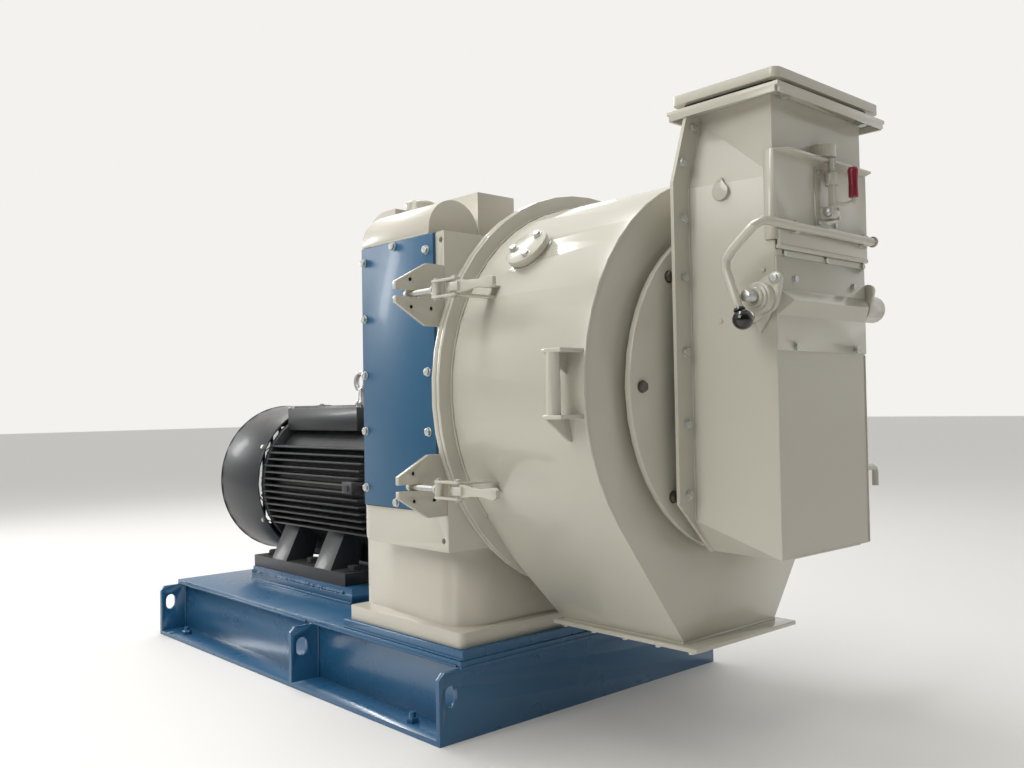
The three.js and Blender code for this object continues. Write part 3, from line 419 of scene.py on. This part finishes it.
def add_bolt(bm, origin, axis, size, washer=True, head=None, rng=SHARED_TURNS):
    """A hexagon head on a washer; size is the thread's diameter in millimetres."""
    across = size * 0.95
    height = head or size * 0.64
    foot = 0.0
    if washer:
        thick = size * 0.2
        add_lathe(bm, origin, axis, [(size * 1.05, 0), (size * 1.08, thick * 0.3),
                                     (size * 1.08, thick * 0.8), (size, thick)])
        foot = thick * 0.9
    turn = rng.uniform(0, math.pi / 3)
    top = foot + height
    dish = foot + height * 0.94
    add_lathe(bm, origin, axis, [(across, foot), (across, foot + height * 0.86), (across * 0.86, top),
                                 (across * 0.5, top), (across * 0.46, dish), (0, dish)], 6, turn)


def make_piece(name, build, body, material, bevel=None, smooth=False):
    bm = bmesh.new()
    build(bm)
    bmesh.ops.recalc_face_normals(bm, faces=bm.faces)
    mesh = bpy.data.meshes.new(name)
    bm.to_mesh(mesh)
    bm.free()
    piece = bpy.data.objects.new(name, mesh)
    bpy.context.scene.collection.objects.link(piece)
    mesh.materials.append(material)
    if smooth:
        mesh.polygons.foreach_set("use_smooth", [True] * len(mesh.polygons))
        mesh.set_sharp_from_angle(angle=SMOOTH_BELOW)
    if bevel:
        finish_edges(piece, bevel, weld=False)
        mesh.polygons.foreach_set("use_smooth", [True] * len(mesh.polygons))
    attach(piece, body)


def bolts(name, body, material, places, **options):
    """places lists (x, y, z, axis, size)."""
    def build(bm):
        rng = random.Random(len(name) * 31 + len(places))
        for x, y, z, axis, size in places:
            add_bolt(bm, mm(x, y, z), axis, size, rng=rng, **options)
    make_piece(name, build, body, material, smooth=True)


def welds(name, body, material, runs, radius=3.0):
    def build(bm):
        for run in runs:
            add_weld(bm, [mm(*point) for point in run], radius)
    make_piece(name, build, body, material, smooth=True)


def arc_points(radius, start, end, y, steps=72, z=MILL_Z):
    angles = [math.radians(start + (end - start) * i / steps) for i in range(steps + 1)]
    return [(radius * math.cos(a), y, z + radius * math.sin(a)) for a in angles]


def both_sides(places):
    """Mirrors bolts in the plane x = 0."""
    flipped = [(-x, y, z, Vector((-axis.x, axis.y, axis.z)), size) for x, y, z, axis, size in places]
    return list(places) + flipped


# ------------------------------------------------------------------ base frame and feet
def base_details():
    levelling = [(side * 460, y) for side in (-1, 1) for y in (156, 1418)]

    def build(bm):
        for x, y in levelling:
            add_bolt(bm, mm(x, y, 12), Z, 16, washer=False, head=13)
            add_lathe(bm, mm(x, y, 25), Z, [(8, -1), (8, 10), (7, 12), (0, 12)], 14)
    make_piece("levelling_bolts", build, "frame", BLUE, smooth=True)

    inner, outer = RAIL_EDGES
    runs = []
    rail_runs = []
    for side in (-1, 1):
        runs.append([(side * 431, 4, DECK_TOP), (side * 431, 496, DECK_TOP)])
        runs.append([(side * FRAME_WEB, 14, 164), (side * FRAME_WEB, 640, 164)])
        runs.append([(side * FRAME_WEB, 680, 164), (side * FRAME_WEB, 1528, 164)])
        for y in (12.5, 652, 666, 1529.5):
            runs.append([(side * 416, y, 14), (side * 416, y, 158)])
        for edge in (outer, inner):
            runs.append([(side * edge, 728, DECK_TOP), (side * edge, 1352, DECK_TOP)])
        runs.append([(side * (inner + 2), 1353, DECK_TOP), (side * (outer - 2), 1353, DECK_TOP)])
        rail_runs.append([(side * 254, 776, 203), (side * 254, 1349, 203)])
        rail_runs.append([(side * 254, 1349, 203), (side * 150, 1349, 203)])
    runs.append([(-428, 499, DECK_TOP), (428, 499, DECK_TOP)])
    welds("base_welds", "frame", BLUE, runs, 3.4)
    welds("motor_rail_welds", "frame", BLUE, rail_runs, 5.5)

    anchors = [(side * 290, 62, 233.7, Z, 20) for side in (-1, 1)]
    bolts("anchor_bolts", "frame", ZINC, anchors, washer=False)
    feet = [(side * 200, y, 258, Z, 20) for side in (-1, 1) for y in (808, 1046, 1300)]
    bolts("motor_foot_bolts", "frame", MOTOR, feet)


# ------------------------------------------------------------------ bearing housing, hood and rear case
def housing_details():
    rows = [(-PANEL_FACE, y, z, -X, 10) for y in (72, 330) for z in (553, 693, 831, 972, 1113)]
    rows += [(-PANEL_FACE, 203, z, -X, 10) for z in (1138, 523)]
    bolts("side_panel_bolts", "frame", ZINC, both_sides(rows))

    def panel_seams(bm):
        for side in (-1, 1):
            add_box(bm, (side * 454.1, 44, 508), (side * 454.6, 343.5, 511))
            add_box(bm, (side * 454.1, 44, 1148.5), (side * 454.6, 343.5, 1150.6))
    make_piece("side_panel_gaskets", panel_seams, "frame", RUBBER)

    runs = [[(-455.5, 29.5, z - 69), (-455.5, 29.5, z + 69)] for z in LATCH_Z.values()]
    for side in (-1, 1):
        runs.append([(side * 455, 72, HOOD_FOOT), (side * 455, 300, HOOD_FOOT)])
        runs.append([(side * 304, 69, 1180), (side * 304, 69, HOOD_FOOT)])
    runs.append([(-303, 345, 1180), (-303, 345, 1262)])
    runs.append([(-300, 68.5, HOOD_FOOT), (300, 68.5, HOOD_FOOT)])
    runs.append([(-387, 50, 422), (-387, 330, 422)])
    welds("housing_welds", "frame", CREAM, runs, 2.6)

    def case_panel(bm):
        outline = [(-318, 452), (318, 452), (318, 1150), (-318, 1150)]
        add_prism(bm, [mm(x, CASE_BACK - 3, z) for x, z in outline], (0, 0.003, 0))
    make_piece("case_rear_sheet", case_panel, "frame", CREAM, bevel=0.0008)
    rear = [(x, CASE_BACK, z, Y, 8) for x in (-302, 302) for z in (470, 600, 735, 870, 1005, 1134)]
    rear += [(x, CASE_BACK, z, Y, 8) for x in (-200, 200) for z in (470, 1134)]
    bolts("case_rear_bolts", "frame", ZINC, rear)
    guard = []
    for wide, high, level, degrees in ((145.2, 140, MOTOR_Z, (200, 250, 290, 340)),
                                       (128, 128, MILL_Z, (20, 70, 110, 160))):
        for a in map(math.radians, degrees):
            guard.append((wide * math.cos(a), GUARD_BACK, level + high * math.sin(a), Y, 8))
    bolts("belt_guard_bolts", "frame", ZINC, guard)

    # The vent slots are thin near-black plates on the guard's face: painted shade in place of open slots into
    # the guard.
    def vent_shade_slots(bm):
        for i in range(7):
            z = 610 + i * 14
            corners = [(-46, z), (46, z), (46, z + 6), (-46, z + 6)]
            add_prism(bm, [mm(x, GUARD_BACK, level) for x, level in corners], (0, 0.0012, 0))
    make_piece("belt_guard_vent_shade", vent_shade_slots, "frame", VENT_SHADE)

    def washers(bm):
        for z in LATCH_Z.values():
            for x, dz in ((-550, 31), (-548, -30), (-493, -31)):
                add_lathe(bm, mm(x, 16.2, z + dz), -Y, [(6.5, 0), (6.5, 0.6), (4.6, 0.6), (4.2, 0)], 16)
    make_piece("bracket_hole_rims", washers, "frame", CREAM, smooth=True)


# ------------------------------------------------------------------ door hinge
def hinge_details():
    cap = [(17, -5.6), (17, -1), (14, 1.5), (0, 1.5)]

    def build(bm):
        for z in LATCH_Z.values():
            add_lathe(bm, mm(*HINGE_POST, z + 36), Z, cap, 24)
            add_lathe(bm, mm(*HINGE_POST, z - 36), -Z, cap, 24)
    make_piece("hinge_pin_caps", build, "frame", ZINC, smooth=True)
    bolts("hinge_bolts", "frame", ZINC, [(482, 30, z, X, 12) for z in (545, 640, 720, 860, 940, 1034)])


# ------------------------------------------------------------------ drum, hopper and cover
def drum_details():
    circle = [math.radians(a) for a in (0, 44, 136, 180, 224, 316)]
    cover = [(326 * math.cos(a), -449, MILL_Z + 326 * math.sin(a), -Y, 12) for a in circle]
    bolts("cover_bolts", "door", DARK_STEEL, cover)

    tilt = math.radians(HOPPER_TILT)
    runs = [arc_points(DRUM_R + 1.5, -HOPPER_TILT, 180 + HOPPER_TILT, -14, 90)]
    for side in (-1, 1):
        x, z = side * (DRUM_R + 1) * math.cos(tilt), MILL_Z - DRUM_R * math.sin(tilt)
        runs.append([(side * 170, -419, 241), (side * 170, -64, 241)])
        runs.append([(x, -14, z), (x, -18, z - 8)])
    runs.append([(-168, -421, 241), (168, -421, 241)])
    welds("drum_welds", "door", CREAM, runs, 2.6)

    def front_seam(bm):
        points = [mm(*p) for p in arc_points(DRUM_R - 3.5, -HOPPER_TILT, 180 + HOPPER_TILT, -420.2, 90)]
        add_tube(bm, points, 1.1, 6)
    make_piece("drum_front_seam", front_seam, "door", CREAM, smooth=True)

    port = math.radians(PORT_ANGLE)
    out = Vector((math.cos(port), 0, math.sin(port)))
    around = Vector((-math.sin(port), 0, math.cos(port)))
    axis_point = mm(0, PORT_Y, MILL_Z)

    def port_bolts(bm):
        for a in (35, 155, 275):
            angle = math.radians(a)
            spoke = around * math.cos(angle) - Y * math.sin(angle)
            add_bolt(bm, axis_point + out * 0.483 + spoke * 0.036, out, 10)
    make_piece("port_bolts", port_bolts, "door", ZINC, smooth=True)

    def port_weld(bm):
        points = []
        for i in range(73):
            angle = 2 * math.pi * i / 72
            side, along = math.sin(angle) * 0.049, math.cos(angle) * 0.049
            height = math.sqrt((DRUM_R / 1000) ** 2 - along ** 2)
            points.append(axis_point + out * height + around * along - Y * side)
        add_tube(bm, points, [2.6 + 0.5 * (i % 2) for i in range(73)], 7)
    make_piece("port_weld", port_weld, "door", CREAM, smooth=True)

    def gasket(bm):
        points = [mm(*p) for p in arc_points(491, 0, 360, -0.6, 120)]
        add_tube(bm, points, 1.2, 6)
    make_piece("drum_seal_bead", gasket, "frame", RUBBER, smooth=True)

    rows = (-440, -350, -255, -160, -68)
    bolts("outlet_nuts", "door", ZINC, [(side * 172, y, 229.8, -Z, 8) for side in (-1, 1) for y in rows])


# ------------------------------------------------------------------ toggle latches
def toggle_details():
    pivot_cap = [(8.5, 0), (8.5, 3), (6, 4.6), (0, 4.8)]
    pin_head = [(8.5, 0), (8.5, 1.2), (6, 1.6), (6, 3.6), (4.4, 4.6), (0, 4.7)]
    thread = [(6.0, 0), (6.55, 0.7), (6.55, 1.1), (6.0, 1.9)]
    jam_nut = [(9.5, 0), (10, 0.6), (10, 5.2), (9.2, 6)]
    for name, z in LATCH_Z.items():
        def pivot(bm, z=z):
            for sign in (-1, 1):
                add_lathe(bm, mm(*LEVER_PIVOT, z + sign * 14.1), Z * sign, pivot_cap)
        make_piece("toggle_pivot_" + name, pivot, "door", ZINC, smooth=True)

        def pins(bm, z=z):
            for sign in (-1, 1):
                for y in LINK_PINS_Y:
                    add_lathe(bm, mm(LINK_X, y, z + sign * 19.5), Z * sign, pin_head)
        make_piece("toggle_pins_" + name, pins, "link_" + name, ZINC, smooth=True)

        def stud(bm, z=z):
            for i in range(23):
                add_lathe(bm, mm(LINK_X, -44 + i * 2.4, z), Y, thread, 14)
            add_lathe(bm, mm(LINK_X, -55, z), Y, jam_nut, 6)
        make_piece("toggle_thread_" + name, stud, "link_" + name, ZINC, smooth=True)


# ------------------------------------------------------------------ feed chute
def chute_details():
    lip = [(-225, CHUTE_LIP, z, -Y, 10) for z in (1240, 1125, 1004, 853, 706, 562)]
    lip.append((-186, CHUTE_LIP, 1318, -Y, 10))
    bolts("chute_lip_bolts", "door", ZINC, both_sides(lip))
    ridge = ((-110, 990), (120, 990), (-110, 856), (127, 856))
    bolts("ridge_cover_bolts", "door", ZINC, [(x, CHUTE_FRONT - 4.3, z, -Y, 8) for x, z in ridge])
    leaf = [(x, CHUTE_FRONT - 4, 1038.5, -Y, 7) for x in (-145, 13, 164)]
    bolts("hinge_leaf_bolts", "door", ZINC, leaf, washer=False)
    bearing = ((-668.3, 986.5), (-611.7, 915.5))
    bolts("bearing_bolts", "door", ZINC,
          [(side * 187, y, z, X * side, 10) for side in (-1, 1) for y, z in bearing])

    def collars(bm):
        inner = [(19, -0.5), (19, 4), (17.5, 5.5), (12.5, 5.5), (12.5, 3)]
        outer = [(29, -0.5), (29, 1.4), (27, 2.6), (25.5, 2.6)]
        for side, end in ((-1, 212), (1, 260)):
            add_lathe(bm, mm(side * end, *ROLLER), X * side, inner, 28)
            add_lathe(bm, mm(side * (end - 8), *ROLLER), X * side, outer, 28)
    make_piece("bearing_collars", collars, "door", CREAM, smooth=True)

    flange = [(side * 150, -678, 1350, -Z, 12) for side in (-1, 1)]
    bolts("inlet_flange_bolts", "door", ZINC, flange)

    runs = []
    rear = ((159, 1335), (205, 1190), (205, 510), (150, 441))
    for side in (-1, 1):
        runs.append([(side * x, CHUTE_LIP - 1, z) for x, z in rear])
        for top, bottom in ((1062, 1035), (845, 443)):
            runs.append([(side * 171, CHUTE_FRONT - 0.5, z) for z in (top, bottom)])
    runs.append([(-130, CHUTE_FRONT, 441), (130, CHUTE_FRONT, 441)])
    welds("chute_welds", "door", CREAM, runs, 1.9)

    piano_knuckles("flap_hinge_door_knuckles", "door", 0)

    def sight(bm):
        add_lathe(bm, mm(-197.3, *SIGHT_PIVOT), -X, [(4, 0), (4, 0.8), (2.6, 1.9), (0, 2.1)], 16)
    make_piece("sight_rivet", sight, "sight", CREAM, smooth=True)

    def wall_screws(bm):
        for y, z in ((-637, 1007), (-546, 912)):
            reach = 172 + (y - CHUTE_FRONT) / 178 * 32
            add_lathe(bm, mm(-reach, y, z), -X, [(5, -1), (5, 1.2), (4, 2.6), (0, 3)], 18)
    make_piece("wall_screws", wall_screws, "door", CREAM, smooth=True)

    def side_bar(bm):
        corners = ((176, 600), (232, 600), (241, 596), (244, 588), (244, 558))
        add_tube(bm, [mm(x, -640, z) for x, z in corners], 7, 12)
        add_lathe(bm, mm(178, -640, 600), X, [(14, -3), (14, 3), (9, 5)], 18)
    make_piece("side_bar", side_bar, "door", CREAM, smooth=True)


# ------------------------------------------------------------------ clean-out flap
def piano_knuckles(name, body, first):
    """Every second knuckle of the flap's hinge, from the one numbered first."""
    def build(bm):
        pitch = FLAP_HINGE_LENGTH / FLAP_HINGE_KNUCKLES
        for i in range(first, FLAP_HINGE_KNUCKLES, 2):
            start = i * pitch - FLAP_HINGE_LENGTH / 2
            add_lathe(bm, mm(start + 0.4, *FLAP_HINGE), X, [(5.4, 0), (5.4, pitch - 0.8)], 14)
    make_piece(name, build, body, CREAM, smooth=True)


def flap_details():
    piano_knuckles("flap_hinge_knuckles", "flap", 1)

    def bar_feet(bm):
        for x in (-120, 150):
            add_box(bm, (x - 9, -682, 1079), (x + 9, -671.5, 1103))
    make_piece("bar_feet", bar_feet, "flap", CREAM, bevel=0.001)

    def end_cap(bm):
        add_lathe(bm, mm(179, *FLAP_BAR), X, [(11.5, -3), (12, -2), (12, 1), (9, 3), (0, 3.2)])
    make_piece("bar_end", end_cap, "flap", CREAM, smooth=True)

    def ferrule(bm):
        axis = Vector((0, 43, 117)).normalized()
        foot = mm(-255, -641, 905) + axis * 0.0182
        add_lathe(bm, foot, axis, [(11, 0), (11.8, 2), (10.6, 5), (9.7, 6)])
    make_piece("knob_ferrule", ferrule, "flap", KNOB, smooth=True)

    latch = [(x, -672, z, -Y, 6) for x in (-26, 40) for z in (1112, 1213)]
    bolts("latch_plate_screws", "flap", ZINC, latch, washer=False)

    def latch_ends(bm):
        for x, axis in ((16, X), (-22, -X)):
            add_lathe(bm, mm(x, *LATCH_PIVOT), axis, [(9, 0), (9, 2), (6.5, 4), (0, 4.4)], 16)
        add_lathe(bm, mm(-3, -690, 1211), Z, [(9, 0), (9.5, 1), (9.5, 7), (8.5, 8)], 6)
    make_piece("latch_pin_heads", latch_ends, "flap_latch", ZINC, smooth=True)

    def grip_cap(bm):
        add_lathe(bm, mm(*GRIP_TOP), Z, [(9.2, -0.5), (9.2, 1), (7, 2.4), (0, 2.8)], 24)
    make_piece("grip_cap", grip_cap, "flap_latch", GRIP, smooth=True)


# ------------------------------------------------------------------ motor
def motor_details():
    def cowl(bm):
        for a in (28, 90, 152, 208, 332):
            angle = math.radians(a)
            out = Vector((math.cos(angle), 0, math.sin(angle)))
            add_bolt(bm, mm(0, 1312, MOTOR_Z) + out * 0.2637, out, 8, head=4)
    make_piece("cowl_screws", cowl, "frame", STEEL, smooth=True)

    def rims(bm):
        for y in COWL_ENDS:
            add_tube(bm, [mm(*p) for p in arc_points(263.4, 0, 360, y, 120, MOTOR_Z)], 1.6, 6)
        for radius in (70, 125, 176):
            add_tube(bm, [mm(*p) for p in arc_points(radius, 0, 360, 1589.5, 96, MOTOR_Z)], 2.2, 6)
    make_piece("cowl_rims", rims, "frame", MOTOR, smooth=True)

    def shield(bm):
        for a in range(45, 360, 90):
            angle = math.radians(a)
            place = mm(222 * math.cos(angle), 668, MOTOR_Z + 222 * math.sin(angle))
            add_lathe(bm, place, -Y, [(17, -8), (17, 8), (14, 10), (0, 10)], 18)
            add_bolt(bm, place - Y * 0.010, -Y, 12)
        for i in range(8):
            angle = 2 * math.pi * i / 8 + 0.39
            out = Vector((math.cos(angle), 0, math.sin(angle)))
            around = out.cross(Y)
            start = mm(0, 650, MOTOR_Z) + out * 0.09
            end = mm(0, 667, MOTOR_Z) + out * 0.222
            half = around * 0.004
            add_prism(bm, [start - half, start + half, end + half, end - half], (0, -0.008, 0))
    make_piece("shield_ribs", shield, "frame", MOTOR, bevel=0.001)

    def gland(bm):
        for x, axis in ((-272, -X), (286, X)):
            add_lathe(bm, mm(x, 726, 517), axis, [(9, -1), (9, 3)], 6)
    make_piece("plug_gland", gland, "frame", MOTOR)
    lid = [(side * 150, y, 754, Z, 6) for side in (-1, 1) for y in (850, 1060, 1272)]
    bolts("terminal_lid_screws", "frame", STEEL, lid, washer=False)


make_floor()
make_camera()
make_light()
dress_cad_nodes()
base_details()
housing_details()
hinge_details()
drum_details()
toggle_details()
chute_details()
flap_details()
motor_details()
